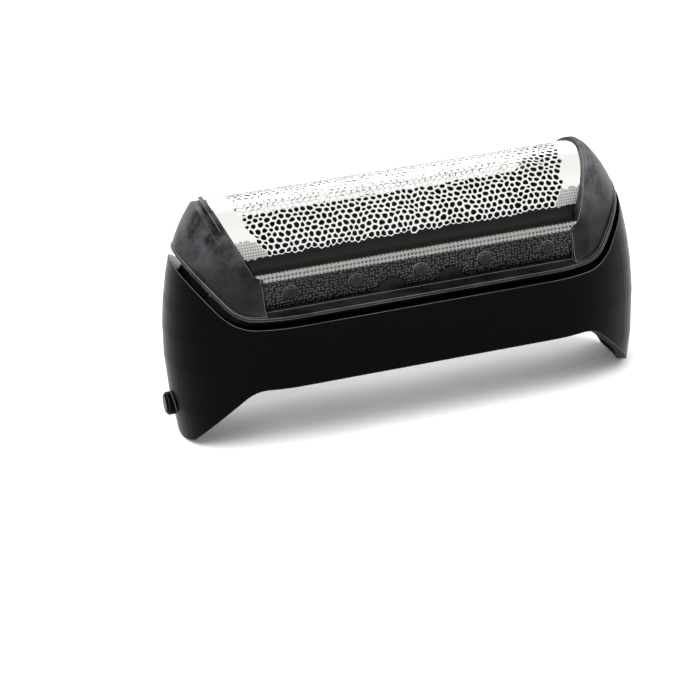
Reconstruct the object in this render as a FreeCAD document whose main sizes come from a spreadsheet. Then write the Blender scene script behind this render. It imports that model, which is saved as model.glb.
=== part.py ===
import FreeCAD, Part
import os
import re
import Sketcher

# Foil head of a reciprocating shaver: a saddle-shaped frame with two legs,
# a floating carrier with two cheeks and two side rails, and a thin foil
# that arches over the cutter bay and is staked to both rails.
# Millimetres. X runs along the foil, -Y is the front, Z is up.
# The origin is midway between the legs, level with their tips.

doc = FreeCAD.newDocument("foil_head")
sizes = doc.addObject("Spreadsheet::Sheet", "sizes")

SIZES = [
    # frame
    ("overall_length", 58.0, "frame across the bulge of its two legs"),
    ("frame_depth", 22.0, "frame front to back"),
    ("end_radius", 9.3, "plan radius at the middle of each end"),
    ("side_radius", 15.5, "plan radius between the end and the straight side"),
    ("frame_wall", 1.2, "wall of the frame"),
    ("bulge_height", 10.0, "height at which the legs are furthest apart"),
    ("leg_lean_top", 2.6, "how far each leg leans in at its top"),
    ("leg_lean_tip", 1.0, "how far each leg leans in at its tip"),
    ("lean_rise", 8.9, "top section of the frame's loft above the rim"),
    ("panel_base", 8.6, "underside of the front and back panels"),
    ("panel_bend", 6.0, "radius from a panel's underside into a leg"),
    ("leg_angle", 35.3, "slope of a leg's edge in degrees"),
    ("leg_splay", 0.752, "widening of the gap between the legs per mm along Y"),
    ("leg_foot", 16.0, "each leg's reach in from its end on the middle plane"),
    ("tip_radius", 11.0, "side view radius of a leg's tip"),
    ("rim_height", 16.1, "rim of the panels"),
    ("rim_run", 9.0, "rising stretch of the rim, from the end of the frame"),
    ("rim_bend", 5.0, "radius from the level rim to the rising rim"),
    ("rim_angle", 50.0, "angle of the rising rim in degrees"),
    ("bead", 0.3, "retaining bead inside the rim"),
    ("bead_height", 1.1, "height of the retaining bead"),
    ("nub_radius", 1.4, "locating nub outside the left leg"),
    ("nub_reach", 0.85, "how far the nub stands out of its leg"),
    ("nub_height", 4.1, "height of the nub above the leg tips"),
    ("nub_bevel", 0.3, "bevel round the nub's end"),
    # carrier
    ("lip_rise", 1.35, "top of the carrier's lip above the rim"),
    ("lip_thick", 0.35, "thickness of the lip"),
    ("lip_inset", 0.1, "lip's outline inside the frame's outline"),
    ("neck_gap", 0.25, "running gap between the neck and the bead"),
    ("neck_wall", 1.0, "wall of the neck"),
    ("neck_depth", 3.7, "depth of the neck below the rim"),
    ("catch_reach", 0.4, "how far a catch stands out of the neck"),
    ("catch_length", 5.0, "length of a catch"),
    ("catch_height", 1.6, "height of a catch"),
    ("catch_gap", 0.06, "gap above a catch at rest"),
    ("catch_place", 9.0, "place of each catch along X"),
    ("cheek_drop", 0.18, "top of the cheeks below the top of the foil"),
    ("cheek_cover", 0.15, "arch of the cheeks beyond the rails' outer faces"),
    ("cheek_arc", 80.0, "angle from the top to where the arch runs straight"),
    ("cheek_waist", 1.3, "inset of the cheeks in plan"),
    ("cheek_set", 1.0, "end of a cheek inside the end of the frame, at the lip"),
    ("cheek_land", 1.0, "end of a cheek beyond the foil's end, at the top"),
    ("cheek_foot", 1.5, "radius from a cheek's side into the lip"),
    ("strip_inset", 10.3, "end of the recess for the foil's strip from the frame's end"),
    ("rail_rise", 5.85, "top of the side rails above the rim"),
    ("rail_inset", 2.25, "outer face of a rail inside the frame's face"),
    ("rail_thick", 1.1, "thickness of a rail"),
    ("rail_round", 0.4, "rounding of a rail's top edge"),
    ("collar_rise", 0.35, "collar's outer radius beyond the foil"),
    ("collar_thick", 0.5, "collar's thickness along X"),
    ("seat_thick", 1.0, "thickness of the arch that carries the foil's end"),
    ("seat_reach", 1.6, "how far the seat runs in under the foil"),
    ("bay_reach", 1.8, "how far the bay runs past the foil's strip"),
    ("stud_radius", 0.5, "shank of a stud"),
    ("head_radius", 0.92, "head of a stud"),
    ("head_height", 0.28, "height of a stud's head over the foil"),
    ("stud_margin", 3.2, "last stud from the end of the strip"),
    ("stud_rise", 3.4, "height of the studs above the rim"),
    # foil
    ("foil_thick", 0.1, "thickness of the foil"),
    ("foil_gap", 0.03, "gap between the foil and the rail under it"),
    ("foil_shoulder", 1.87, "arch of the foil inside the rails' outer faces"),
    ("axis_drop", 0.45, "axis of the foil's arch below the top of the rails"),
    ("arch_angle", 78.0, "angle from the top to where the arch flares"),
    ("strip_rise", 1.75, "lower edge of the foil's strips above the rim"),
    ("foil_skirt", 0.65, "end of the foil beyond its strip, at the rails"),
    ("end_cap", 6.7, "end of the foil's top inside the end of the frame"),
    ("foil_fit", 0.15, "gap between the foil's end and the collar"),
    ("notch_place", 3.5, "place of each notch from the middle stud"),
    ("notch_half", 1.75, "half the width of a notch"),
    ("notch_height", 1.3, "height of a notch"),
]

# Places that follow from the sizes.
FOLLOWS = {
    "leg_top": "(rim_height + lean_rise)",
    "leg_reach": "(overall_length / 2 - leg_foot)",
    "rim_flat": "(overall_length / 2 - rim_run)",
    "neck_base": "(rim_height - neck_depth)",
    "rail_top": "(rim_height + rail_rise)",
    "rail_face": "(frame_depth / 2 - rail_inset)",
    "strip_half": "(overall_length / 2 - strip_inset)",
    "stud_pitch": "((strip_half - stud_margin) / 2)",
    "stud_height": "(rim_height + stud_rise)",
    "foil_radius": "(rail_face - foil_shoulder)",
    "foil_axis": "(rail_top - axis_drop)",
    "foil_foot": "(rim_height + strip_rise)",
    "foil_low_half": "(strip_half + foil_skirt)",
    "foil_high_half": "(overall_length / 2 - end_cap)",
    "cheek_top": "(foil_axis + foil_radius - cheek_drop)",
    "cheek_radius": "(rail_face + cheek_cover)",
    "cheek_foot_half": "(overall_length / 2 - cheek_set)",
    "cheek_end": "(foil_high_half + cheek_land)",
}

for row, (alias, size, note) in enumerate(SIZES, 1):
    sizes.set(f"A{row}", note)
    sizes.set(f"B{row}", str(size))
    sizes.setAlias(f"B{row}", alias)
doc.recompute()

ALIAS = re.compile(r"\b(" + "|".join(alias for alias, _, _ in SIZES) + r")\b")
FOLLOWER = re.compile(r"\b(" + "|".join(FOLLOWS) + r")\b")


def spelled(formula):
    """The formula with every place that follows from the sizes written out."""
    text = str(formula)
    while FOLLOWER.search(text):
        text = FOLLOWER.sub(lambda found: FOLLOWS[found.group(1)], text)
    return text


def value(formula):
    """Number that a formula on the sheet's aliases gives."""
    return float(sizes.evalExpression(spelled(formula)))


def bound(formula):
    """The formula as another object of the document has to write it."""
    return ALIAS.sub(r"sizes.\1", spelled(formula))


def tie(thing, **formulas):
    """Bind properties of an object to formulas."""
    for name, formula in formulas.items():
        thing.setExpression(name.replace("__", "."), bound(formula))


def new_body(name):
    return doc.addObject("PartDesign::Body", name)


def new_sketch(body, name, role, offset="0"):
    """Empty sketch on one of the body's origin planes, moved along its normal."""
    plane = next(f for f in body.Origin.OriginFeatures if f.Role == role)
    sketch = body.newObject("Sketcher::SketchObject", name)
    sketch.AttachmentSupport = (plane, [""])
    sketch.MapMode = "FlatFace"
    if offset != "0":
        tie(sketch, AttachmentOffset__Base__z=offset)
    return sketch


def arc_between(start, end, radius):
    """Short arc from start to end. A positive radius turns left, a negative one right."""
    chord = end - start
    middle = (start + end) * 0.5
    left = FreeCAD.Vector(-chord.y, chord.x, 0).normalize()
    reach = max(radius * radius - chord.Length ** 2 / 4, 0.0) ** 0.5
    side = 1 if radius > 0 else -1
    centre = middle + left * reach * side
    bulge = middle - centre
    if bulge.Length < 1e-9:
        bulge = left * -side
    top = centre + bulge.normalize() * abs(radius)
    return Part.Arc(start, top, end)


def draw(sketch, corners):
    """Closed outline. Each corner is (x, y) or (x, y, radius of the arc to the next corner)."""
    points = [FreeCAD.Vector(value(c[0]), value(c[1]), 0) for c in corners]
    ends = []
    for index, corner in enumerate(corners):
        start = points[index]
        end = points[(index + 1) % len(points)]
        if len(corner) < 3:
            edge = sketch.addGeometry(Part.LineSegment(start, end))
            ends.append((edge, 1, 2))
            continue
        radius = value(corner[2])
        edge = sketch.addGeometry(arc_between(start, end, radius))
        ends.append((edge, 1, 2) if radius > 0 else (edge, 2, 1))
        fixed = sketch.addConstraint(Sketcher.Constraint("Radius", edge, abs(radius)))
        sign = "" if radius > 0 else "-"
        tie(sketch, **{f"Constraints[{fixed}]": f"{sign}({corner[2]})"})
    for index, (edge, first, last) in enumerate(ends):
        after, after_first, _ = ends[(index + 1) % len(ends)]
        sketch.addConstraint(Sketcher.Constraint("Coincident", edge, last, after, after_first))
    for index, (edge, first, last) in enumerate(ends):
        point = points[index]
        for kind, size, formula in (
            ("DistanceX", point.x, corners[index][0]),
            ("DistanceY", point.y, corners[index][1]),
        ):
            fixed = sketch.addConstraint(Sketcher.Constraint(kind, -1, 1, edge, first, size))
            tie(sketch, **{f"Constraints[{fixed}]": formula})
    return sketch


def backwards(path):
    """The same open path, walked from its other end."""
    turned = []
    for index in range(len(path) - 1, -1, -1):
        before = path[index - 1] if index > 0 else ()
        arc = (f"-({before[2]})",) if len(before) == 3 else ()
        turned.append(tuple(path[index][:2]) + arc)
    return turned


def both_sides(right):
    """Symmetrical open path, left to right, from its right half going outwards."""
    left = []
    for index in range(len(right) - 1, -1, -1):
        before = right[index - 1] if index > 0 else ()
        arc = (before[2],) if len(before) == 3 else ()
        left.append((f"-({right[index][0]})", right[index][1]) + arc)
    return left, right


def across(right, middle=()):
    """Whole path left to right. The edge that crosses the middle may be an arc."""
    left, right = both_sides(right)
    left[-1] = left[-1] + middle
    return left + right


HALF = "overall_length / 2"
DEEP = "(frame_depth + 4)"
LONG = "(overall_length + 4)"
SIDE_REACH = "(overall_length / 2 + 2)"


def oblong(sketch, half_length, inset="0"):
    """Plan outline of the frame, moved in by inset all round."""
    drop = "(side_radius - frame_depth / 2)"
    spread = "(side_radius - end_radius)"
    run = f"sqrt({spread} * {spread} - {drop} * {drop})"
    straight = f"({half_length}) - end_radius - {run}"
    side = f"side_radius - ({inset})"
    turn_x = f"{straight} + ({side}) * {run} / {spread}"
    turn_y = f"({side}) * {drop} / {spread} - {drop}"
    end = f"end_radius - ({inset})"
    y = f"frame_depth / 2 - ({inset})"
    return draw(sketch, [
        (f"-({straight})", f"-({y})"),
        (straight, f"-({y})", side),
        (turn_x, f"-({turn_y})", end),
        (turn_x, turn_y, side),
        (straight, y),
        (f"-({straight})", y, side),
        (f"-({turn_x})", turn_y, end),
        (f"-({turn_x})", f"-({turn_y})", side),
    ])


def saddle(offset):
    """The rim's curve in the front view, left to right, moved up by offset."""
    bend = f"(rim_bend - ({offset}))"
    bend_x = f"(rim_flat + {bend} * sin(rim_angle))"
    bend_z = f"(rim_height + rim_bend - {bend} * cos(rim_angle))"
    end_z = f"{bend_z} + ({SIDE_REACH} - {bend_x}) * tan(rim_angle)"
    return across([
        ("rim_flat", f"rim_height + ({offset})", bend),
        (bend_x, bend_z),
        (SIDE_REACH, end_z),
    ])


def above(path):
    top = "rim_height + overall_length"
    return path + [(SIDE_REACH, top), (f"-{SIDE_REACH}", top)]


def below(path):
    low = "-2"
    return path + [(SIDE_REACH, low), (f"-{SIDE_REACH}", low)]


def loft(body, name, sections, kind="PartDesign::AdditiveLoft", ruled=False):
    feature = body.newObject(kind, name)
    feature.Profile = sections[0]
    feature.Sections = sections[1:]
    feature.Ruled = ruled
    return feature


def symmetric(body, name, kind, sketch, length):
    """Pad or pocket that runs both ways from its sketch."""
    feature = body.newObject(kind, name)
    feature.Profile = sketch
    feature.SideType = "Symmetric"
    tie(feature, Length=length)
    return feature


def combine(kind, name, base, tool):
    feature = doc.addObject(kind, name)
    feature.Base = base
    feature.Tool = tool
    return feature


def join(kind, name, shapes):
    feature = doc.addObject(kind, name)
    feature.Shapes = shapes
    return feature


# Levels over the bulge at which the outside is drawn, as shares of the height to its top.
OUTER_SHARES = (0.25, 0.45, 0.65, 0.82, 1)


def frame_tube(name, inset, shares=(0.4, 0.75, 1)):
    """Solid with the frame's leaning sides, moved in by inset."""
    body = new_body(name)
    levels = [("-1", "leg_lean_tip"), ("(bulge_height - 1) / 2", "leg_lean_tip / 4"), ("bulge_height", "0")]
    for share in shares:
        height = f"bulge_height + (leg_top - bulge_height) * {share}"
        levels.append((height, f"leg_lean_top * {share * share}"))
    sections = []
    for number, (height, lean) in enumerate(levels):
        sketch = new_sketch(body, f"{name}_level_{number}", "XY_Plane", height)
        sections.append(oblong(sketch, f"{HALF} - ({lean})", inset))
    loft(body, f"{name}_loft", sections, ruled=True)
    return body


def front_prism(name, *outlines):
    """Solid of one or more front view outlines, through the whole depth."""
    body = new_body(name)
    sketch = new_sketch(body, f"{name}_outline", "XZ_Plane")
    for outline in outlines:
        draw(sketch, outline)
    symmetric(body, f"{name}_pad", "PartDesign::Pad", sketch, DEEP)
    return body


def side_prism(name, outline, length):
    """Solid of a side view outline, along X both ways from the middle."""
    body = new_body(name)
    draw(new_sketch(body, f"{name}_outline", "YZ_Plane"), outline)
    symmetric(body, f"{name}_pad", "PartDesign::Pad", body.Group[-1], length)
    return body


def slanted(body, name, outline, side):
    """Pads from the middle plane to the front and the back, drawn outwards by the splay."""
    sketch = new_sketch(body, f"{name}_outline", "XZ_Plane")
    draw(sketch, outline)
    for number, depth in enumerate((-1, 1)):
        pad = body.newObject("PartDesign::Pad", f"{name}_pad_{number}")
        pad.Profile = sketch
        pad.Reversed = depth > 0
        pad.UseCustomVector = True
        pad.AlongSketchNormal = True
        pad.Direction = FreeCAD.Vector(side * value("leg_splay"), -1, 0)
        tie(pad, Length=f"{DEEP} / 2", Direction__x=f"{side * -depth} * leg_splay")


def leg_gap():
    """Gap between the legs. Its slopes fall along X and open along Y, square to the wall."""
    body = new_body("leg_gap")
    turn = "panel_bend * tan(leg_angle / 2)"
    right = [
        ("0", "panel_base"),
        (f"leg_reach - {turn}", "panel_base", "-panel_bend"),
        (f"leg_reach + {turn} * cos(leg_angle)", f"panel_base - {turn} * sin(leg_angle)"),
        ("leg_reach + (panel_base + 2) / tan(leg_angle)", "-2"),
        ("0", "-2"),
    ]
    left = [(f"-({c[0]})", c[1]) + (("panel_bend",) if len(c) == 3 else ()) for c in right]
    slanted(body, "gap_right", right, 1)
    slanted(body, "gap_left", left, -1)
    middle = new_sketch(body, "gap_middle_outline", "XZ_Plane")
    reach = f"(leg_reach - {turn})"
    draw(middle, [
        (f"-{reach}", "-2"),
        (reach, "-2"),
        (reach, "panel_base"),
        (f"-{reach}", "panel_base"),
    ])
    symmetric(body, "gap_middle", "PartDesign::Pad", middle, DEEP)
    return body


def tip_zone():
    """What lies under the rounded tips in the side view."""
    half = "(tip_radius * 0.9)"
    rise = "tip_radius * (1 - sqrt(1 - 0.9 * 0.9))"
    outline = [
        (f"-{half}", rise, "tip_radius"),
        (half, rise),
        (half, "-3"),
        (f"-{half}", "-3"),
    ]
    return side_prism("tip_zone", outline, LONG)


def make_nub():
    """Round locating nub outside the left leg, with a bevelled end."""
    turn = FreeCAD.Rotation(FreeCAD.Vector(0, 1, 0), -90)
    pin = doc.addObject("Part::Cylinder", "nub_pin")
    bevel = doc.addObject("Part::Cone", "nub_bevelled_end")
    root = f"({HALF} - leg_lean_tip - frame_wall / 2)"
    end = f"({HALF} - leg_lean_tip * 0.2 + nub_reach - nub_bevel)"
    tie(pin, Radius="nub_radius", Height=f"{end} - {root}")
    tie(bevel, Radius1="nub_radius", Radius2="nub_radius - nub_bevel", Height="nub_bevel")
    for piece, start in ((pin, root), (bevel, end)):
        piece.Placement = FreeCAD.Placement(FreeCAD.Vector(0, 0, 0), turn)
        tie(piece, Placement__Base__x=f"-{start}", Placement__Base__z="nub_height")
    return [pin, bevel]


def make_frame():
    outside = frame_tube("frame_outside", "0", OUTER_SHARES)
    inside = frame_tube("frame_inside", "frame_wall")
    throat = frame_tube("frame_throat", "frame_wall + bead")
    under_bead = front_prism("under_bead", below(saddle("-bead_height")))
    cavity = join("Part::MultiCommon", "frame_cavity", [inside, under_bead])
    over_rim = front_prism("over_rim", above(saddle("0")))
    legs = combine("Part::Cut", "frame_legs", outside, leg_gap())
    tipped = combine("Part::Cut", "frame_tipped", legs, tip_zone())
    rimmed = combine("Part::Cut", "frame_rimmed", tipped, over_rim)
    with_nub = join("Part::MultiFuse", "frame_with_nub", [rimmed] + make_nub())
    hollow = combine("Part::Cut", "frame_hollow", with_nub, cavity)
    return combine("Part::Cut", "outer_frame", hollow, throat)


def slant(height, extra="0"):
    """Half the length at which the foil's slanted end stands at a height."""
    rise = "(foil_axis + foil_radius - rail_top)"
    return (
        f"(foil_low_half + ({extra}) + (foil_high_half - foil_low_half)"
        f" * (({height}) - rail_top) / {rise})"
    )


def slant_slab(name, inner, outer, low):
    """Both slanted slabs between two offsets from the foil's ends."""
    top = "(cheek_top + 4)"
    right = [
        (slant(low, inner), low),
        (slant(low, outer), low),
        (slant(top, outer), top),
        (slant(top, inner), top),
    ]
    left = [(f"-({x})", z) for x, z in right]
    return front_prism(name, right, left)


def make_lip():
    """Thin lip that follows the rim of the frame."""
    band = saddle("lip_rise - lip_thick") + backwards(saddle("lip_rise"))
    layer = front_prism("lip_layer", band)
    plan = frame_tube("lip_plan", "lip_inset", OUTER_SHARES)
    return join("Part::MultiCommon", "lip", [layer, plan])


NECK_INSET = "(frame_wall + bead + neck_gap)"


def make_neck():
    """Wall that slides inside the frame's bead, with its catches."""
    outer = frame_tube("neck_outer", NECK_INSET)
    inner = frame_tube("neck_inner", f"{NECK_INSET} + neck_wall")
    ring = combine("Part::Cut", "neck_ring", outer, inner)
    bottom = [
        (f"-{SIDE_REACH}", "neck_base"),
        (SIDE_REACH, "neck_base"),
    ]
    zone = front_prism("neck_zone", bottom + backwards(saddle("lip_rise - lip_thick / 2")))
    neck = join("Part::MultiCommon", "neck", [ring, zone])
    face = f"(frame_depth / 2 - {NECK_INSET})"
    top = "(rim_height - bead_height - catch_gap)"
    hook = [
        (f"{face} - neck_wall / 2", top),
        (f"{face} - neck_wall / 2", f"{top} - catch_height"),
        (face, f"{top} - catch_height"),
        (f"{face} + catch_reach", f"{top} - catch_height / 3"),
        (f"{face} + catch_reach", top),
    ]
    catches = new_body("catches")
    catches.AllowCompound = True
    for number, side in enumerate(("-1", "1")):
        sketch = new_sketch(catches, f"catch_{number}", "YZ_Plane", f"{side} * catch_place")
        draw(sketch, hook)
        draw(sketch, [(f"-({y})", z) for y, z in hook])
        symmetric(catches, f"catch_pad_{number}", "PartDesign::Pad", sketch, "catch_length")
    return [neck, catches]


def make_cheeks():
    """Two moulded cheeks: an arch cut off by a leaning, rounded end."""
    plan = new_body("cheek_plan")
    low = "(rim_height + lip_rise)"
    rise = f"(cheek_top - {low})"
    shrink = "(cheek_foot_half - cheek_end)"
    levels = [
        ("-0.08", "0.3", "0"),
        ("0.35", "0.85", "0.12"),
        ("0.7", "1", "0.42"),
        ("1.05", "1.15", "1"),
    ]
    sections = []
    for number, (up, in_share, end_share) in enumerate(levels):
        sketch = new_sketch(plan, f"cheek_level_{number}", "XY_Plane", f"{low} + {rise} * {up}")
        inset = f"cheek_waist * {in_share}"
        sections.append(oblong(sketch, f"cheek_foot_half - {shrink} * {end_share} + {inset}", inset))
    loft(plan, "cheek_loft", sections)
    arc_y = "(cheek_radius * sin(cheek_arc))"
    arc_z = "(cheek_top - cheek_radius + cheek_radius * cos(cheek_arc))"
    corner = f"({arc_y} + ({arc_z} - {low}) / tan(cheek_arc))"
    turn = "(cheek_foot * tan(cheek_arc / 2))"
    arch = across([
        (arc_y, arc_z),
        (f"{corner} - {turn} * cos(cheek_arc)", f"{low} + {turn} * sin(cheek_arc)", "cheek_foot"),
        (f"{corner} + {turn}", low),
        (f"{corner} + {turn}", f"{low} - 3"),
    ], ("-cheek_radius",))
    arch_body = side_prism("cheek_arch", arch, LONG)
    foot = "lip_rise - lip_thick / 2"
    end = [
        ("strip_half", f"rim_height + {foot}"),
        ("strip_half", "rail_top"),
        (slant("rail_top", "foil_fit"), "rail_top"),
        (slant("cheek_top + 4", "foil_fit"), "cheek_top + 4"),
        (SIDE_REACH, "cheek_top + 4"),
    ]
    curve = backwards(saddle(foot))[:3]
    right = end + curve
    right[-1] = right[-1][:2]
    left = [(f"-({c[0]})", c[1]) + ((f"-({c[2]})",) if len(c) == 3 else ()) for c in right]
    zone = front_prism("cheek_zone", right, left)
    return join("Part::MultiCommon", "cheeks", [plan, arch_body, zone])


def along_x(name, radius, half_length):
    """Round bar about the foil's axis, along X both ways from the middle."""
    bar = doc.addObject("Part::Cylinder", name)
    turn = FreeCAD.Rotation(FreeCAD.Vector(0, 1, 0), 90)
    bar.Placement = FreeCAD.Placement(FreeCAD.Vector(0, 0, value("foil_axis")), turn)
    tie(bar, Radius=radius, Height=f"2 * ({half_length})")
    tie(bar, Placement__Base__x=f"-({half_length})", Placement__Base__z="foil_axis")
    return bar


def ring(name, outer, inner):
    bar = along_x(f"{name}_bar", outer, SIDE_REACH)
    bore = along_x(f"{name}_bore", inner, SIDE_REACH)
    return combine("Part::Cut", name, bar, bore)


SEAT_FACE = "(foil_radius - foil_thick - foil_gap)"


def make_collars():
    """Thin arch that stands round each end of the foil, and the seat under the foil's end."""
    arch = ring("collar_ring", "foil_radius + collar_rise", f"{SEAT_FACE} - seat_thick / 2")
    slab = slant_slab("collar_slab", "foil_fit", "foil_fit + collar_thick", "rail_top")
    collars = join("Part::MultiCommon", "collars", [arch, slab])
    arch = ring("seat_ring", SEAT_FACE, f"{SEAT_FACE} - seat_thick")
    zone = slant_slab("seat_slab", "-seat_reach", "foil_fit + collar_thick", "foil_axis - 1")
    seats = join("Part::MultiCommon", "seats", [arch, zone])
    return [collars, seats]


def make_rails():
    """Upright rails that the foil's strips lie on."""
    foot = "rim_height"
    rail = [
        ("rail_face - rail_thick", foot),
        ("rail_face", foot),
        ("rail_face", "rail_top - rail_round", "rail_round"),
        ("rail_face - rail_round", "rail_top"),
        ("rail_face - rail_thick", "rail_top"),
    ]
    body = new_body("rails")
    body.AllowCompound = True
    sketch = new_sketch(body, "rail_outline", "YZ_Plane")
    draw(sketch, rail)
    draw(sketch, [(f"-({c[0]})", c[1]) + ((f"-({c[2]})",) if len(c) == 3 else ()) for c in rail])
    symmetric(body, "rail_pad", "PartDesign::Pad", sketch, "2 * strip_half + 0.3")
    return body


STUDS = (-2, -1, 0, 1, 2)


def stud_row(sketch, radius):
    """A row of circles, one for each stud."""
    for place in STUDS:
        centre = FreeCAD.Vector(value(f"{place} * stud_pitch"), value("stud_height"), 0)
        circle = sketch.addGeometry(Part.Circle(centre, FreeCAD.Vector(0, 0, 1), value(radius)))
        for kind, at, size, formula in (
            ("DistanceX", 3, centre.x, f"{place} * stud_pitch"),
            ("DistanceY", 3, centre.y, "stud_height"),
        ):
            fixed = sketch.addConstraint(Sketcher.Constraint(kind, -1, 1, circle, at, size))
            tie(sketch, **{f"Constraints[{fixed}]": formula})
        fixed = sketch.addConstraint(Sketcher.Constraint("Radius", circle, value(radius)))
        tie(sketch, **{f"Constraints[{fixed}]": radius})


def make_studs():
    """Studs moulded on the rails and flattened over the foil."""
    cover = "(foil_gap + foil_thick)"
    studs = []
    for side in (-1, 1):
        turn = FreeCAD.Rotation(FreeCAD.Vector(1, 0, 0), -90 * side)
        for place in STUDS:
            name = f"{'back' if side > 0 else 'front'}_{place + 3}"
            shank = doc.addObject("Part::Cylinder", f"shank_{name}")
            tie(shank, Radius="stud_radius", Height=f"rail_thick / 2 + {cover} + head_height / 2")
            head = doc.addObject("Part::Cone", f"head_{name}")
            tie(head, Radius1="head_radius", Radius2="head_radius - head_height", Height="head_height")
            for piece, start in ((shank, "rail_face - rail_thick / 2"), (head, f"rail_face + {cover}")):
                piece.Placement = FreeCAD.Placement(FreeCAD.Vector(0, 0, 0), turn)
                tie(piece, Placement__Base__x=f"{place} * stud_pitch")
                tie(piece, Placement__Base__y=f"{side} * ({start})")
                tie(piece, Placement__Base__z="stud_height")
            studs += [shank, head]
    return studs


def make_bay():
    """Room for the cutter: an arch under the foil and the space between the rails."""
    arch = along_x("bay_arch", f"{SEAT_FACE} - seat_thick", "foil_high_half + bay_reach")
    slot = doc.addObject("Part::Box", "bay_slot")
    half = "(rail_face - rail_thick)"
    tie(slot, Length="2 * (strip_half + bay_reach)", Width=f"2 * {half}", Height="foil_axis - 2")
    tie(slot, Placement__Base__x="-strip_half - bay_reach", Placement__Base__y=f"-{half}")
    tie(slot, Placement__Base__z="1.5")
    return [arch, slot]


def make_carrier():
    pieces = [make_lip()] + make_neck() + [make_cheeks()] + make_collars() + [make_rails()]
    whole = join("Part::MultiFuse", "carrier_whole", pieces)
    arch, slot = make_bay()
    arched = combine("Part::Cut", "carrier_arched", whole, arch)
    open_bay = combine("Part::Cut", "carrier_open", arched, slot)
    return join("Part::MultiFuse", "foil_carrier", [open_bay] + make_studs())


def omega(offset):
    """Section of the foil at an offset from its inner face, left to right."""
    face = f"(rail_face + foil_gap + ({offset}))"
    ledge = f"(rail_top + foil_gap + ({offset}))"
    edge = f"(rail_round + foil_gap + ({offset}))"
    radius = f"(foil_radius - foil_thick + ({offset}))"
    arch_y = f"({radius} * sin(arch_angle))"
    arch_z = f"(foil_axis + {radius} * cos(arch_angle))"
    tangent = f"(({arch_z} - {ledge}) / sin(arch_angle))"
    flare = f"({tangent} / tan(arch_angle / 2))"
    start = f"({arch_y} + {tangent} * cos(arch_angle) + {tangent})"
    return across([
        (arch_y, arch_z, flare),
        (start, ledge),
        (f"{face} - {edge}", ledge, f"-{edge}"),
        (face, "rail_top - rail_round"),
        (face, "foil_foot"),
    ], (f"-{radius}",))


def make_foil():
    """Thin sheet bent over the rails, cut off along the slanted ends."""
    sheet = side_prism("foil_sheet", omega("foil_thick") + backwards(omega("0")), LONG)
    low = "foil_foot - 1"
    strip = "(strip_half - foil_fit)"
    top = "(foil_axis + foil_radius + 2)"
    keep = across([
        (strip, low),
    ])
    keep += [
        (strip, "rail_top - rail_round"),
        (slant("rail_top"), "rail_top"),
        (slant(top), top),
        (f"-{slant(top)}", top),
        (f"-{slant('rail_top')}", "rail_top"),
        (f"-{strip}", "rail_top - rail_round"),
    ]
    zone = front_prism("foil_zone", keep)
    cut = join("Part::MultiCommon", "foil_trimmed", [sheet, zone])
    holes = new_body("stud_holes")
    holes.AllowCompound = True
    row = new_sketch(holes, "hole_row", "XZ_Plane")
    stud_row(row, "stud_radius + 0.05")
    symmetric(holes, "hole_pad", "PartDesign::Pad", row, DEEP)
    notch_radius = "(notch_half * notch_half + notch_height * notch_height) / 2 / notch_height"
    notches = [
        [
            (f"{side} * notch_place - notch_half", "foil_foot", f"-{notch_radius}"),
            (f"{side} * notch_place + notch_half", "foil_foot"),
            (f"{side} * notch_place + notch_half", "foil_foot - 1"),
            (f"{side} * notch_place - notch_half", "foil_foot - 1"),
        ]
        for side in (-1, 1)
    ]
    notch_body = front_prism("notches", *notches)
    drilled = combine("Part::Cut", "foil_drilled", cut, holes)
    return combine("Part::Cut", "shaving_foil", drilled, notch_body)


NODES = [make_frame(), make_carrier(), make_foil()]
doc.recompute()

broken = [o.Label for o in doc.Objects if "Invalid" in o.State or "Error" in o.State]
if broken:
    raise RuntimeError("objects that failed: " + ", ".join(broken))
for node in NODES:
    if node.Shape.isNull() or not node.Shape.isValid():
        raise RuntimeError(node.Label + " has no valid shape")

os.makedirs("parts", exist_ok=True)
for node in NODES:
    node.Shape.exportStep(f"parts/{node.Label}.step")
    print(node.Label, len(node.Shape.Solids), round(node.Shape.Volume, 2), node.Shape.BoundBox)
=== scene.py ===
import math

import bmesh
import bpy
from mathutils import Matrix, Vector


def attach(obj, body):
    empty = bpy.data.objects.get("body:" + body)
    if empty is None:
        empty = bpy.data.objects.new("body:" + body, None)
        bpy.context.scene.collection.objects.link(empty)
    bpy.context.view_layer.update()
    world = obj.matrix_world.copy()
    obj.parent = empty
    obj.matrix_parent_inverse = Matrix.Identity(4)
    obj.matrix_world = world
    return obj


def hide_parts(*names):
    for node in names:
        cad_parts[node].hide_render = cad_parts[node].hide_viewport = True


# Foil head of a shaver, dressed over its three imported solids.
# The frame and the carrier keep their solids and get their plastics here.
# The foil is made again as a thin perforated sheet.

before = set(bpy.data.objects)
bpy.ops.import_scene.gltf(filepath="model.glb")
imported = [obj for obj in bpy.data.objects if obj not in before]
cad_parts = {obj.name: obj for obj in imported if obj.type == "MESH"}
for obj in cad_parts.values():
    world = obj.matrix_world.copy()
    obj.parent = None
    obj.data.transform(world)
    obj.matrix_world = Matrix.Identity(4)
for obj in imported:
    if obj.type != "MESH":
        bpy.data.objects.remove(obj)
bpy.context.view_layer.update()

MM = 0.001


# Section of the foil: lengths in millimetres, and heights over the ground.

FOIL_RADIUS = 6.88
FOIL_AXIS = 21.5
FOIL_THICK = 0.09
ARCH_END = math.radians(78.0)
LEDGE = 22.08
STRIP_FACE = 8.88
EDGE_ROUND = 0.53
STRIP_FOOT = 17.85
RAIL_TOP = 21.95
ROLLED = 0.4
FLARE_STEPS = 8
ROUND_STEPS = 6

# Half the foil's length: on the strips, at the rails' top and on top of the arch.
# Below the rails' top its ends step in to the strips' length over the height STEP_IN.

STRIP_HALF = 18.55
LOW_HALF = 19.35
HIGH_HALF = 22.3
STEP_IN = 0.4

# Notches in the strips' lower edge.

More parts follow.
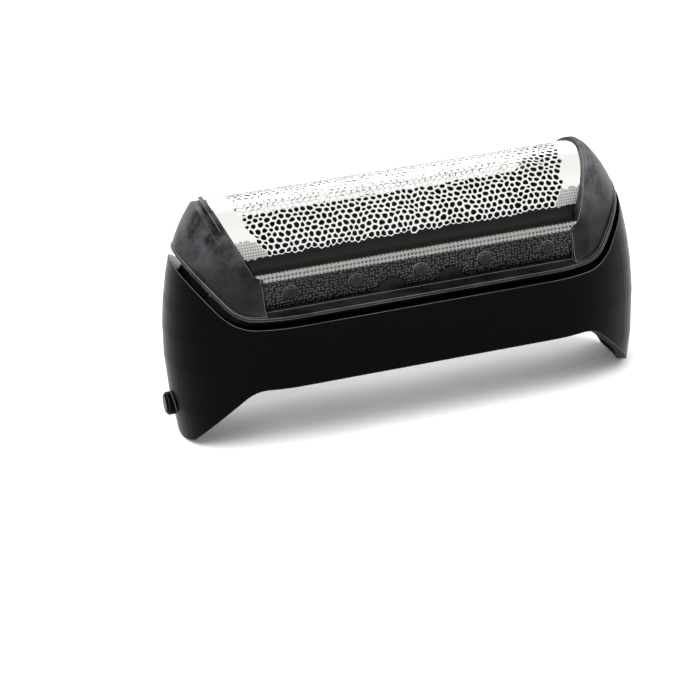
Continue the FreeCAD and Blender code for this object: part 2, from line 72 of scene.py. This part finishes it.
NOTCH_PLACES = (-3.5, 3.5)
NOTCH_HALF = 1.75
NOTCH_HEIGHT = 1.3

# The openings: rows lie HOLE_ROWS of a pitch apart, HOLE_SHARE is an opening's width against
# its cell's, and HOLE_IRREGULAR is how far a cell's middle may stray each way, in millimetres.

HOLE_PITCH = 0.76
HOLE_ROWS = 0.866
HOLE_SHARE = 0.74
HOLE_SHARE_LESS = 0.06
HOLE_SHARE_MORE = 0.03
HOLE_IRREGULAR = 0.29
STRAY_SEEDS = (3, 8)
SHARE_SEED = 5

# The cutting field and the patches at its corners. Angles are in degrees from the arch's top.

FIELD_LOW_HALF = 16.7
FIELD_HIGH_HALF = 20.0
FIELD_LOW_ANGLE = 74.0
PATCH_ANGLE = 58.0

# How the flat sheet is trimmed: rows and columns to spare, and how many pitches beyond the
# edge a cell goes. Points are merged within millimetres, and slivers are in square millimetres.

SPARE_CELLS = 5
TRIM_BEYOND = 1.3
MERGE_WITHIN = 0.004
SLIVER_AREA = 0.004
WELD_WITHIN = 0.002

# Heights between which the carrier goes from black to a grey that is partly rubbing and partly painted
# light, lighter towards the top, in millimetres.

PAINTED_LIGHT_AND_RUB_FROM = 21.5
PAINTED_LIGHT_AND_RUB_FULL = 26.0

# Stage: lengths in metres.

FLOOR_HALF = 1.5
FLOOR_DROP = 0.0001
FADE_START = 0.12
FADE_END = 0.3
LIGHT_AIM = (0.0, 0.0, 0.015)
SKY_ON_SURFACES = 0.75
SKY_SEEN = 1.0

# Camera: angles in degrees, the rest in millimetres.

CAMERA_AZIMUTH = -15.042
CAMERA_ELEVATION = 25.305
CAMERA_ROLL = 3.785
CAMERA_DISTANCE = 275.596
CAMERA_TARGET = (-6.626, 0.0, 6.69)
CAMERA_LENS = 118.29
CAMERA_SENSOR = 36.0


# Small helpers.

def linear(hex_colour):
    """Linear colour of an sRGB hex value."""
    value = hex_colour.lstrip("#")
    channels = [int(value[i:i + 2], 16) / 255 for i in (0, 2, 4)]
    return [c / 12.92 if c <= 0.04045 else ((c + 0.055) / 1.055) ** 2.4 for c in channels] + [1.0]


def add(tree, kind, settings=None, **links):
    """One node with its settings, and its inputs linked or set by name.
    A name such as in0 picks an input by its place."""
    node = tree.nodes.new(kind)
    for name, value in (settings or {}).items():
        setattr(node, name, value)
    for name, value in links.items():
        key = name.replace("_", " ")
        by_place = key.startswith("in") and key[2:].isdigit()
        socket = node.inputs[int(key[2:]) if by_place else key]
        if isinstance(value, bpy.types.NodeSocket):
            tree.links.new(value, socket)
        else:
            socket.default_value = value
    return node


def waves(size):
    """Scale of a pattern on coordinates in metres, from the size of one wave in millimetres."""
    return 1 / (size * MM)


def new_material(name):
    """An empty material and its node tree."""
    material = bpy.data.materials.new(name)
    material.use_nodes = True
    material.node_tree.nodes.clear()
    return material, material.node_tree


def finish_material(tree, shader):
    add(tree, "ShaderNodeOutputMaterial", Surface=shader)


# Materials.

def object_place(tree):
    """Object coordinates, and each of them on its own."""
    place = add(tree, "ShaderNodeTexCoord").outputs["Object"]
    return place, add(tree, "ShaderNodeSeparateXYZ", Vector=place).outputs


def scratches(tree, place, stretch, wave):
    """Long thin marks, in a noise with waves of that many millimetres: 1 on a mark, 0 beside it."""
    drawn = add(tree, "ShaderNodeMapping", Vector=place, Scale=stretch).outputs[0]
    noise = add(tree, "ShaderNodeTexNoise", Vector=drawn, Scale=waves(wave), Detail=3.0).outputs["Fac"]
    return add(tree, "ShaderNodeMapRange", Value=noise, From_Min=0.68, From_Max=0.74).outputs["Result"]


def rounded_edges(tree, radius):
    """Normal with the sharp edges rounded off by a radius in millimetres, and a mask that is 1 there."""
    soft = add(tree, "ShaderNodeBevel", {"samples": 8}, Radius=radius * MM).outputs[0]
    true = add(tree, "ShaderNodeNewGeometry").outputs["Normal"]
    turn = add(
        tree, "ShaderNodeVectorMath", {"operation": "DOT_PRODUCT"}, in0=soft, in1=true,
    ).outputs["Value"]
    mask = add(
        tree, "ShaderNodeMapRange", Value=turn, From_Min=0.97, From_Max=0.8, To_Min=0.0, To_Max=1.0,
    ).outputs["Result"]
    return soft, mask


def edge_painted_highlight(tree, colour, mask, noise, highlight_colour):
    """The colour, lightened towards a grey along the edges as a painted highlight, unevenly by the noise.
    """
    share = add(tree, "ShaderNodeMath", {"operation": "MULTIPLY"}, in0=mask, in1=noise).outputs[0]
    return add(
        tree, "ShaderNodeMix", {"data_type": "RGBA"}, Factor=share, in6=colour, in7=linear(highlight_colour),
    ).outputs[2]


def gloss_black_abs():
    """ABS, injection moulded in a polished tool: deep black, with clean reflections,
    a faint orange peel, rounded edges with an uneven painted highlight and a few hairline marks."""
    material, tree = new_material("gloss_black_abs")
    place, _ = object_place(tree)
    peel = add(tree, "ShaderNodeTexNoise", Vector=place, Scale=waves(2.38), Detail=2.0).outputs["Fac"]
    haze = add(tree, "ShaderNodeTexNoise", Vector=place, Scale=waves(11.1), Detail=4.0).outputs["Fac"]
    marks = scratches(tree, place, (0.12, 0.5, 1.0), 0.667)
    rough = add(tree, "ShaderNodeMapRange", Value=haze, To_Min=0.2, To_Max=0.34).outputs["Result"]
    rough = add(
        tree, "ShaderNodeMath", {"operation": "MULTIPLY_ADD"}, in0=marks, in1=0.2, in2=rough,
    ).outputs[0]
    edge, mask = rounded_edges(tree, 0.2)
    # painted highlight: the edges lightened towards grey, unevenly by the haze
    colour = edge_painted_highlight(tree, linear("#020203"), mask, haze, "#8c8c8a")
    bump = add(tree, "ShaderNodeBump", Height=peel, Strength=0.1, Distance=0.02 * MM, Normal=edge)
    shader = add(
        tree, "ShaderNodeBsdfPrincipled", Base_Color=colour, Specular_IOR_Level=0.03,
        Roughness=rough, IOR=1.5, Normal=bump.outputs["Normal"],
    )
    finish_material(tree, shader.outputs["BSDF"])
    return material


def satin_black_polymer():
    """Polymer moulded in a fine-textured tool: black low down, with a softer grey on the cheeks in rubbed
    patches, made lighter towards the top by painted light, with a close grain and rounded edges with a
    painted highlight. The grain is drawn coarser than it is, so that it shows."""
    material, tree = new_material("satin_black_polymer")
    place, split = object_place(tree)
    grain = add(tree, "ShaderNodeTexNoise", Vector=place, Scale=waves(0.385), Detail=2.0).outputs["Fac"]
    cloud = add(
        tree, "ShaderNodeTexNoise", Vector=place, Scale=waves(4.76), Detail=7.0, Roughness=0.66,
    ).outputs["Fac"]
    # painted light: the carrier grows lighter towards the top, where the cheeks face the light; the rubbed
    # patches come from the cloud
    height = add(
        tree, "ShaderNodeMapRange", Value=split["Z"],
        From_Min=PAINTED_LIGHT_AND_RUB_FROM * MM, From_Max=PAINTED_LIGHT_AND_RUB_FULL * MM, To_Min=0.12, To_Max=1.0,
    ).outputs["Result"]
    worn = add(tree, "ShaderNodeMapRange", Value=cloud, From_Min=0.36, From_Max=0.62).outputs["Result"]
    share = add(tree, "ShaderNodeMath", {"operation": "MULTIPLY"}, in0=worn, in1=height)
    tint = add(
        tree, "ShaderNodeMix", {"data_type": "RGBA"}, Factor=share.outputs[0],
        in6=linear("#08090a"), in7=linear("#525356"),
    )
    rough = add(tree, "ShaderNodeMapRange", Value=cloud, To_Min=0.3, To_Max=0.5)
    edge, mask = rounded_edges(tree, 0.16)
    # painted highlight: the edges lightened towards pale grey, unevenly by the cloud
    colour = edge_painted_highlight(tree, tint.outputs[2], mask, cloud, "#a2a2a0")
    bump = add(tree, "ShaderNodeBump", Height=grain, Strength=0.35, Distance=0.03 * MM, Normal=edge)
    shader = add(
        tree, "ShaderNodeBsdfPrincipled", Base_Color=colour, Specular_IOR_Level=0.13,
        Roughness=rough.outputs["Result"], IOR=1.5, Normal=bump.outputs["Normal"],
    )
    finish_material(tree, shader.outputs["BSDF"])
    return material


def bright_nickel():
    """Electroformed nickel foil, bright on top: near mirror, with the fine haze of its plating
    and faint rubbing marks along its length."""
    material, tree = new_material("bright_nickel")
    place, _ = object_place(tree)
    haze = add(tree, "ShaderNodeTexNoise", Vector=place, Scale=waves(3.33), Detail=4.0).outputs["Fac"]
    marks = scratches(tree, place, (0.08, 1.0, 1.0), 0.417)
    rough = add(tree, "ShaderNodeMapRange", Value=haze, To_Min=0.14, To_Max=0.26).outputs["Result"]
    rough = add(
        tree, "ShaderNodeMath", {"operation": "MULTIPLY_ADD"}, in0=marks, in1=0.15, in2=rough,
    ).outputs[0]
    shader = add(
        tree, "ShaderNodeBsdfPrincipled", Base_Color=linear("#f1efec"), Metallic=1.0, Roughness=rough,
    )
    finish_material(tree, shader.outputs["BSDF"])
    return material


def dotted(tree, split, pitch, irregular):
    """Flat pattern of small round dots over X and Z, at a pitch in millimetres: 1 in a dot, 0 between."""
    flat = add(tree, "ShaderNodeCombineXYZ", X=split["X"], Y=split["Z"]).outputs[0]
    cells = add(
        tree, "ShaderNodeTexVoronoi", {"voronoi_dimensions": "2D"},
        Vector=flat, Scale=waves(pitch), Randomness=irregular,
    ).outputs["Distance"]
    return add(
        tree, "ShaderNodeMapRange", Value=cells, From_Min=0.22, From_Max=0.4, To_Min=1.0, To_Max=0.0,
    ).outputs["Result"]


def nickel(name, low, high, metallic, roughness, pitch, irregular, depth):
    """Nickel in two tones, in a field of dots with a pitch and a depth in millimetres."""
    material, tree = new_material(name)
    place, split = object_place(tree)
    dots = dotted(tree, split, pitch, irregular)
    cloud = add(tree, "ShaderNodeTexNoise", Vector=place, Scale=waves(4.55), Detail=4.0).outputs["Fac"]
    share = add(tree, "ShaderNodeMath", {"operation": "MULTIPLY"}, in0=dots, in1=cloud)
    share = add(tree, "ShaderNodeMath", {"operation": "MULTIPLY"}, in0=share.outputs[0], in1=1.8)
    tint = add(
        tree, "ShaderNodeMix", {"data_type": "RGBA"}, Factor=share.outputs[0],
        in6=linear(low), in7=linear(high),
    )
    bump = add(tree, "ShaderNodeBump", Height=dots, Strength=0.5, Distance=depth * MM)
    shader = add(
        tree, "ShaderNodeBsdfPrincipled", Base_Color=tint.outputs[2], Metallic=metallic,
        Roughness=roughness, Specular_IOR_Level=0.15, Normal=bump.outputs["Normal"],
    )
    finish_material(tree, shader.outputs["BSDF"])
    return material


def etched_nickel():
    """The foil's strip over the rail, etched with fine dull points: its nickel painted black as a painted
    reflection of the dark surroundings, the points a little lighter.
    """
    return nickel(
        "etched_nickel", low="#050506", high="#444546", metallic=0.1, roughness=0.55,
        pitch=0.36, irregular=0.6, depth=0.02,
    )


def rolled_nickel():
    """The foil where it is rolled over the rail's edge: a lighter copy of the foil's nickel, as a painted
    highlight line, with small dimples along it.
    """
    return nickel(
        "rolled_nickel", low="#8b8986", high="#343331", metallic=0.8, roughness=0.36,
        pitch=0.46, irregular=0.12, depth=0.05,
    )


def shaded_nickel():
    """The plain band under the openings: nickel that mirrors only the dark bay and rail, brown-black."""
    return nickel(
        "shaded_nickel", low="#0b0807", high="#080605", metallic=0.05, roughness=0.55,
        pitch=0.5, irregular=0.6, depth=0.005,
    )


def half_etched_nickel():
    """The corners of the foil, etched halfway through: matt grey, with a very close grain
    that is drawn just coarse enough to show."""
    return nickel(
        "half_etched_nickel", low="#a3a29f", high="#5f5e61", metallic=0.6, roughness=0.5,
        pitch=0.3, irregular=0.1, depth=0.02,
    )


# The foil.

def slant(z):
    """Half the foil's length at a height, from the rails' top up."""
    return LOW_HALF + (HIGH_HALF - LOW_HALF) * (z - RAIL_TOP) / (FOIL_AXIS + FOIL_RADIUS - RAIL_TOP)


def side_profile():
    """Points (y, z) of the foil's outer face, from the end of the arch round to the strip."""
    arch_y = FOIL_RADIUS * math.sin(ARCH_END)
    arch_z = FOIL_AXIS + FOIL_RADIUS * math.cos(ARCH_END)
    tangent = (arch_z - LEDGE) / math.sin(ARCH_END)
    flare = tangent / math.tan(ARCH_END / 2)
    start = arch_y + tangent * math.cos(ARCH_END) + tangent
    points = []
    for step in range(FLARE_STEPS + 1):
        angle = ARCH_END * (1 - step / FLARE_STEPS)
        points.append((start - flare * math.sin(angle), LEDGE + flare * (1 - math.cos(angle))))
    points.append((STRIP_FACE - EDGE_ROUND, LEDGE))
    for step in range(1, ROUND_STEPS + 1):
        angle = math.pi / 2 * step / ROUND_STEPS
        y = STRIP_FACE - EDGE_ROUND + EDGE_ROUND * math.sin(angle)
        z = LEDGE - EDGE_ROUND + EDGE_ROUND * math.cos(angle)
        points.append((y, z))
    return points


def notch(x):
    """Height of the strip's lower edge over its foot."""
    radius = (NOTCH_HALF ** 2 + NOTCH_HEIGHT ** 2) / 2 / NOTCH_HEIGHT
    for place in NOTCH_PLACES:
        if abs(x - place) < NOTCH_HALF:
            return math.sqrt(radius ** 2 - (x - place) ** 2) - radius + NOTCH_HEIGHT
    return 0.0


def side_bands():
    """Flare, ledge and strip of both sides, as one thin open sheet.
    Material 0 is for flare and ledge, 1 for the rolled edge and 2 for the strip."""
    sheet = bmesh.new()
    columns = 150
    strip_rows = 6
    profile = side_profile()
    # the flare's rows, the ledge and the first step of the rolled edge
    shaded_rows = FLARE_STEPS + 2
    for side in (-1, 1):
        grid = []
        for column in range(columns + 1):
            share = -1 + 2 * column / columns
            line = []
            for y, z in profile:
                near = min(max((z - RAIL_TOP + STEP_IN) / STEP_IN, 0.0), 1.0)
                half = slant(z) if z > RAIL_TOP else STRIP_HALF + (LOW_HALF - STRIP_HALF) * near
                line.append(sheet.verts.new((share * half * MM, side * y * MM, z * MM)))
            rolled_foot = profile[-1][1] - ROLLED
            x = share * STRIP_HALF
            low = STRIP_FOOT + notch(x)
            for row in range(1, strip_rows + 1):
                z = rolled_foot + (low - rolled_foot) * (row - 1) / (strip_rows - 1)
                line.append(sheet.verts.new((x * MM, side * STRIP_FACE * MM, z * MM)))
            grid.append(line)
        for left, right in zip(grid, grid[1:]):
            for row in range(len(left) - 1):
                corners = [left[row], right[row], right[row + 1], left[row + 1]]
                made = sheet.faces.new(corners if side > 0 else corners[::-1])
                made.smooth = True
                made.material_index = 0 if row < shaded_rows else 1 if row < len(profile) else 2
    mesh = bpy.data.meshes.new("foil_sides")
    sheet.to_mesh(mesh)
    sheet.free()
    return mesh


def perforation_tree(metal, band_metal, patch_metal):
    """Geometry Nodes tree and the sizes to give it: a flat sheet of irregular cells,
    opened where the foil cuts, then bent into the arch."""
    tree = bpy.data.node_groups.new("perforated_arch", "GeometryNodeTree")
    interface = tree.interface
    interface.new_socket("Geometry", in_out="OUTPUT", socket_type="NodeSocketGeometry")
    sizes = {
        "Pitch": HOLE_PITCH * MM,
        "Hole Share": HOLE_SHARE,
        "Irregular": HOLE_IRREGULAR * MM,
        "Radius": FOIL_RADIUS * MM,
        "Axis": FOIL_AXIS * MM,
        "Arch End": ARCH_END,
        "Low Half": slant(FOIL_AXIS) * MM,
        "High Half": HIGH_HALF * MM,
        "Open Low Half": FIELD_LOW_HALF * MM,
        "Open High Half": FIELD_HIGH_HALF * MM,
        "Open Angle": math.radians(FIELD_LOW_ANGLE),
        "Patch Angle": math.radians(PATCH_ANGLE),
        "Thickness": FOIL_THICK * MM,
    }
    sockets = {}
    for name in sizes:
        sockets[name] = interface.new_socket(name, in_out="INPUT", socket_type="NodeSocketFloat")
    given = tree.nodes.new("NodeGroupInput").outputs

    def math_node(operation, a, b=None):
        links = {"in0": a} if b is None else {"in0": a, "in1": b}
        return add(tree, "ShaderNodeMath", {"operation": operation}, **links).outputs[0]

    rows = int(2 * FOIL_RADIUS * ARCH_END / (HOLE_PITCH * HOLE_ROWS)) + SPARE_CELLS
    columns = int(2 * HIGH_HALF / HOLE_PITCH) + SPARE_CELLS
    width = math_node("MULTIPLY", given["Pitch"], float(columns - 1))
    depth = math_node("MULTIPLY", given["Pitch"], HOLE_ROWS * (rows - 1))
    grid = add(
        tree, "GeometryNodeMeshGrid", Size_X=width, Size_Y=depth, Vertices_X=columns, Vertices_Y=rows,
    ).outputs["Mesh"]

    # every second row is shifted by half a pitch, and each point strays a little
    index = add(tree, "GeometryNodeInputIndex").outputs[0]
    odd = math_node("MODULO", math_node("MODULO", index, float(rows)), 2.0)
    shift = math_node("MULTIPLY", math_node("MULTIPLY", odd, 0.5), given["Pitch"])
    jitter_low = math_node("MULTIPLY", given["Irregular"], -1.0)
    jitters = []
    for seed in STRAY_SEEDS:
        jitters.append(add(
            tree, "FunctionNodeRandomValue", {"data_type": "FLOAT"},
            in2=jitter_low, in3=given["Irregular"], Seed=seed,
        ).outputs[1])
    move = add(
        tree, "ShaderNodeCombineXYZ", X=math_node("ADD", shift, jitters[0]), Y=jitters[1],
    ).outputs[0]
    lattice = add(tree, "GeometryNodeSetPosition", Geometry=grid, Offset=move).outputs[0]
    lattice = add(tree, "GeometryNodeTriangulate", Mesh=lattice).outputs[0]
    cells = add(tree, "GeometryNodeDualMesh", Mesh=lattice, Keep_Boundaries=False).outputs[0]

    def parts():
        """Place in the flat sheet, and the angle that it has on the arch."""
        place = add(tree, "GeometryNodeInputPosition").outputs[0]
        split = add(tree, "ShaderNodeSeparateXYZ", Vector=place).outputs
        angle = math_node("DIVIDE", split["Y"], given["Radius"])
        return split, angle

    def half_length(angle, low, high):
        """Half of a length at an angle: low at the height of the arch's axis, high at its top."""
        share = math_node("COSINE", angle)
        span = math_node("SUBTRACT", high, low)
        return math_node("ADD", low, math_node("MULTIPLY", span, share))

    # cells well outside the foil go, and those across its edge are drawn in to it
    split, angle = parts()
    half = half_length(angle, given["Low Half"], given["High Half"])
    over_end = math_node("SUBTRACT", math_node("ABSOLUTE", split["X"]), half)
    over_side = math_node("SUBTRACT", math_node("ABSOLUTE", angle), given["Arch End"])
    over_side = math_node("MULTIPLY", over_side, given["Radius"])
    over = math_node("MAXIMUM", over_end, over_side)
    outside = math_node("GREATER_THAN", over, math_node("MULTIPLY", given["Pitch"], TRIM_BEYOND))
    cells = add(
        tree, "GeometryNodeDeleteGeometry", {"domain": "FACE"}, Geometry=cells, Selection=outside,
    ).outputs[0]
    limit = math_node("MULTIPLY", given["Arch End"], given["Radius"])
    y = math_node("MINIMUM", split["Y"], limit)
    y = math_node("MAXIMUM", y, math_node("MULTIPLY", limit, -1.0))
    x = math_node("MINIMUM", split["X"], half)
    x = math_node("MAXIMUM", x, math_node("MULTIPLY", half, -1.0))
    drawn = add(tree, "ShaderNodeCombineXYZ", X=x, Y=y).outputs[0]
    cells = add(tree, "GeometryNodeSetPosition", Geometry=cells, Position=drawn).outputs[0]
    cells = add(tree, "GeometryNodeMergeByDistance", Geometry=cells, Distance=MERGE_WITHIN * MM).outputs[0]
    area = add(tree, "GeometryNodeInputMeshFaceArea").outputs[0]
    sliver = math_node("LESS_THAN", area, SLIVER_AREA * MM * MM)
    cells = add(
        tree, "GeometryNodeDeleteGeometry", {"domain": "FACE"}, Geometry=cells, Selection=sliver,
    ).outputs[0]

    # cells of the cutting field, of the band under it and of its lower corners are marked
    split, angle = parts()
    steep = math_node("ABSOLUTE", angle)
    along = math_node("ABSOLUTE", split["X"])
    open_half = half_length(angle, given["Open Low Half"], given["Open High Half"])
    in_length = math_node("LESS_THAN", along, open_half)
    in_height = math_node("LESS_THAN", steep, given["Open Angle"])
    field = math_node("MULTIPLY", in_length, in_height)
    low_band = math_node("GREATER_THAN", steep, given["Open Angle"])
    in_patch = math_node("MULTIPLY", math_node("GREATER_THAN", steep, given["Patch Angle"]), in_height)
    in_patch = math_node("MULTIPLY", in_patch, math_node("SUBTRACT", 1.0, in_length))
    for name, mark in (("open", field), ("band", low_band), ("patch", in_patch)):
        cells = add(
            tree, "GeometryNodeStoreNamedAttribute", {"data_type": "FLOAT", "domain": "FACE"},
            Geometry=cells, Name=name, in3=mark,
        ).outputs[0]

    def marked(name):
        """Whether a face has the mark of that name."""
        node = add(tree, "GeometryNodeInputNamedAttribute", {"data_type": "FLOAT"}, Name=name)
        return math_node("GREATER_THAN", node.outputs[0], 0.5)

    # every cell gets a rim, and the cells of the cutting field lose their middle
    rimmed = add(tree, "GeometryNodeExtrudeMesh", Mesh=cells, Offset_Scale=0.0, Individual=True).outputs
    shares = add(
        tree, "FunctionNodeRandomValue", {"data_type": "FLOAT"},
        in2=math_node("SUBTRACT", given["Hole Share"], HOLE_SHARE_LESS),
        in3=math_node("ADD", given["Hole Share"], HOLE_SHARE_MORE), Seed=SHARE_SEED,
    ).outputs[1]
    scaled = add(
        tree, "GeometryNodeScaleElements", Geometry=rimmed["Mesh"], Selection=rimmed["Top"], Scale=shares,
    ).outputs[0]
    hole = math_node("MULTIPLY", marked("open"), rimmed["Top"])
    pierced = add(
        tree, "GeometryNodeDeleteGeometry", {"domain": "FACE"}, Geometry=scaled, Selection=hole,
    ).outputs[0]

    # bent about the axis, then given its thickness
    split, angle = parts()
    y = math_node("MULTIPLY", given["Radius"], math_node("SINE", angle))
    z = math_node("MULTIPLY", given["Radius"], math_node("COSINE", angle))
    z = math_node("ADD", z, given["Axis"])
    bent = add(tree, "ShaderNodeCombineXYZ", X=split["X"], Y=y, Z=z).outputs[0]
    arch = add(tree, "GeometryNodeSetPosition", Geometry=pierced, Position=bent).outputs[0]
    inward = math_node("MULTIPLY", given["Thickness"], -1.0)
    walls = add(
        tree, "GeometryNodeExtrudeMesh", Mesh=arch, Offset_Scale=inward, Individual=False,
    ).outputs["Mesh"]
    walls = add(tree, "GeometryNodeFlipFaces", Mesh=walls).outputs[0]
    shell = tree.nodes.new("GeometryNodeJoinGeometry")
    tree.links.new(arch, shell.inputs[0])
    tree.links.new(walls, shell.inputs[0])
    welded = add(
        tree, "GeometryNodeMergeByDistance", Geometry=shell.outputs[0], Distance=WELD_WITHIN * MM,
    ).outputs[0]
    real = add(tree, "GeometryNodeRealizeInstances", Geometry=welded).outputs[0]
    coated = add(tree, "GeometryNodeSetMaterial", Geometry=real, Material=metal).outputs[0]
    for name, coat in (("band", band_metal), ("patch", patch_metal)):
        coated = add(
            tree, "GeometryNodeSetMaterial", Geometry=coated, Selection=marked(name), Material=coat,
        ).outputs[0]
    out = tree.nodes.new("NodeGroupOutput")
    tree.links.new(coated, out.inputs[0])
    return tree, {sockets[name].identifier: size for name, size in sizes.items()}


def plain_mesh(piece):
    """Give a piece its evaluated mesh, with no modifier left on it."""
    bpy.context.view_layer.update()
    graph = bpy.context.evaluated_depsgraph_get()
    made = bpy.data.meshes.new_from_object(piece.evaluated_get(graph))
    piece.modifiers.clear()
    piece.data = made


def new_piece(name, mesh):
    """An object of the scene with that mesh."""
    piece = bpy.data.objects.new(name, mesh)
    bpy.context.scene.collection.objects.link(piece)
    return piece


def make_foil():
    """The perforated arch and both sides, joined into one sheet that stands for the solid foil."""
    bright = bright_nickel()
    shaded = shaded_nickel()
    arch = new_piece("foil_arch", bpy.data.meshes.new("foil_arch"))
    modifier = arch.modifiers.new("perforate", "NODES")
    tree, sizes = perforation_tree(bright, shaded, half_etched_nickel())
    modifier.node_group = tree
    for identifier, size in sizes.items():
        modifier[identifier] = size
    plain_mesh(arch)

    sides = new_piece("foil_sides", side_bands())
    # the sides get lit and shaded copies of the nickel: painted shade on flare and ledge, a painted
    # highlight on the rolled edge, a painted dark reflection on the strip
    for metal in (shaded, rolled_nickel(), etched_nickel()):
        sides.data.materials.append(metal)
    wall = sides.modifiers.new("thickness", "SOLIDIFY")
    wall.thickness = FOIL_THICK * MM
    wall.offset = -1.0
    plain_mesh(sides)

    foil = new_piece("foil_sheet", joined(arch, sides))
    bpy.data.objects.remove(arch)
    bpy.data.objects.remove(sides)
    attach(foil, "cassette")
    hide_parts("shaving_foil")


def joined(*pieces):
    """One mesh of several, with their materials."""
    whole = bmesh.new()
    materials = []
    for piece in pieces:
        part = bmesh.new()
        part.from_mesh(piece.data)
        places = []
        for material in piece.data.materials:
            if material not in materials:
                materials.append(material)
            places.append(materials.index(material))
        for face in part.faces:
            face.material_index = places[face.material_index]
        spare = bpy.data.meshes.new("spare")
        part.to_mesh(spare)
        part.free()
        whole.from_mesh(spare)
        bpy.data.meshes.remove(spare)
    mesh = bpy.data.meshes.new("foil_sheet")
    whole.to_mesh(mesh)
    whole.free()
    for material in materials:
        mesh.materials.append(material)
    return mesh


def dress(node, material):
    """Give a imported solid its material."""
    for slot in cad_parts[node].material_slots:
        slot.material = material


# Stage.

def make_floor():
    """White ground for the shadow, fading out well away from the head."""
    material, tree = new_material("white_sweep")
    paper = add(tree, "ShaderNodeBsdfDiffuse", Color=linear("#fafafa")).outputs["BSDF"]
    clear = add(tree, "ShaderNodeBsdfTransparent").outputs["BSDF"]
    place = add(tree, "ShaderNodeTexCoord").outputs["Object"]
    away = add(tree, "ShaderNodeVectorMath", {"operation": "LENGTH"}, in0=place).outputs["Value"]
    fade = add(
        tree, "ShaderNodeMapRange", Value=away, From_Min=FADE_START, From_Max=FADE_END,
    ).outputs["Result"]
    finish_material(tree, add(tree, "ShaderNodeMixShader", in0=fade, in1=paper, in2=clear).outputs[0])
    mesh = bpy.data.meshes.new("floor")
    corners = [(x * FLOOR_HALF, y * FLOOR_HALF, 0) for x, y in ((-1, -1), (1, -1), (1, 1), (-1, 1))]
    mesh.from_pydata(corners, [], [(0, 1, 2, 3)])
    floor = new_piece("floor", mesh)
    floor.location.z = -FLOOR_DROP
    mesh.materials.append(material)


def make_light(name, place, size, power):
    """A rectangular lamp, turned to the head."""
    lamp = bpy.data.lights.new(name, "AREA")
    lamp.shape = "RECTANGLE"
    lamp.size, lamp.size_y = size
    lamp.energy = power
    light = bpy.data.objects.new(name, lamp)
    bpy.context.scene.collection.objects.link(light)
    light.location = place
    light.rotation_euler = (Vector(LIGHT_AIM) - Vector(place)).to_track_quat("-Z", "Y").to_euler()


def make_world():
    """White all round, a little weaker where it only lights the surfaces."""
    world = bpy.data.worlds.new("studio")
    bpy.context.scene.world = world
    world.use_nodes = True
    tree = world.node_tree
    tree.nodes.clear()
    path = add(tree, "ShaderNodeLightPath").outputs
    seen = path["Is Camera Ray"]
    for ray in ("Is Glossy Ray", "Is Transmission Ray"):
        seen = add(tree, "ShaderNodeMath", {"operation": "MAXIMUM"}, in0=seen, in1=path[ray]).outputs[0]
    strength = add(tree, "ShaderNodeMapRange", Value=seen, To_Min=SKY_ON_SURFACES, To_Max=SKY_SEEN)
    sky = add(tree, "ShaderNodeBackground", Color=(1.0, 1.0, 1.0, 1.0), Strength=strength.outputs["Result"])
    add(tree, "ShaderNodeOutputWorld", Surface=sky.outputs[0])


def make_camera():
    """The photograph's view: turned 15 degrees to the left, 25 above, with a slight roll."""
    azimuth = math.radians(CAMERA_AZIMUTH)
    elevation = math.radians(CAMERA_ELEVATION)
    roll = math.radians(CAMERA_ROLL)
    back = Vector((
        math.sin(azimuth) * math.cos(elevation),
        -math.cos(azimuth) * math.cos(elevation),
        math.sin(elevation),
    ))
    right = Vector((math.cos(azimuth), math.sin(azimuth), 0.0))
    up = back.cross(right)
    turned_right = right * math.cos(roll) - up * math.sin(roll)
    turned_up = right * math.sin(roll) + up * math.cos(roll)
    data = bpy.data.cameras.new("camera")
    data.sensor_width = CAMERA_SENSOR
    data.lens = CAMERA_LENS
    data.clip_start = 0.01
    data.clip_end = 5.0
    camera = bpy.data.objects.new("camera", data)
    bpy.context.scene.collection.objects.link(camera)
    turn = Matrix((turned_right, turned_up, back)).transposed()
    place = (Vector(CAMERA_TARGET) + back * CAMERA_DISTANCE) * MM
    camera.matrix_world = Matrix.Translation(place) @ turn.to_4x4()
    bpy.context.scene.camera = camera


dress("outer_frame", gloss_black_abs())
dress("foil_carrier", satin_black_polymer())
make_foil()

make_floor()
make_world()
make_light("key", place=(-0.25, -0.25, 0.45), size=(0.35, 0.35), power=3.0)
make_light("fill", place=(0.4, -0.15, 0.3), size=(0.3, 0.3), power=1.2)
make_light("back", place=(0.0, 0.4, 0.35), size=(0.5, 0.2), power=1.5)
make_camera()

bpy.context.scene.view_settings.view_transform = "Standard"
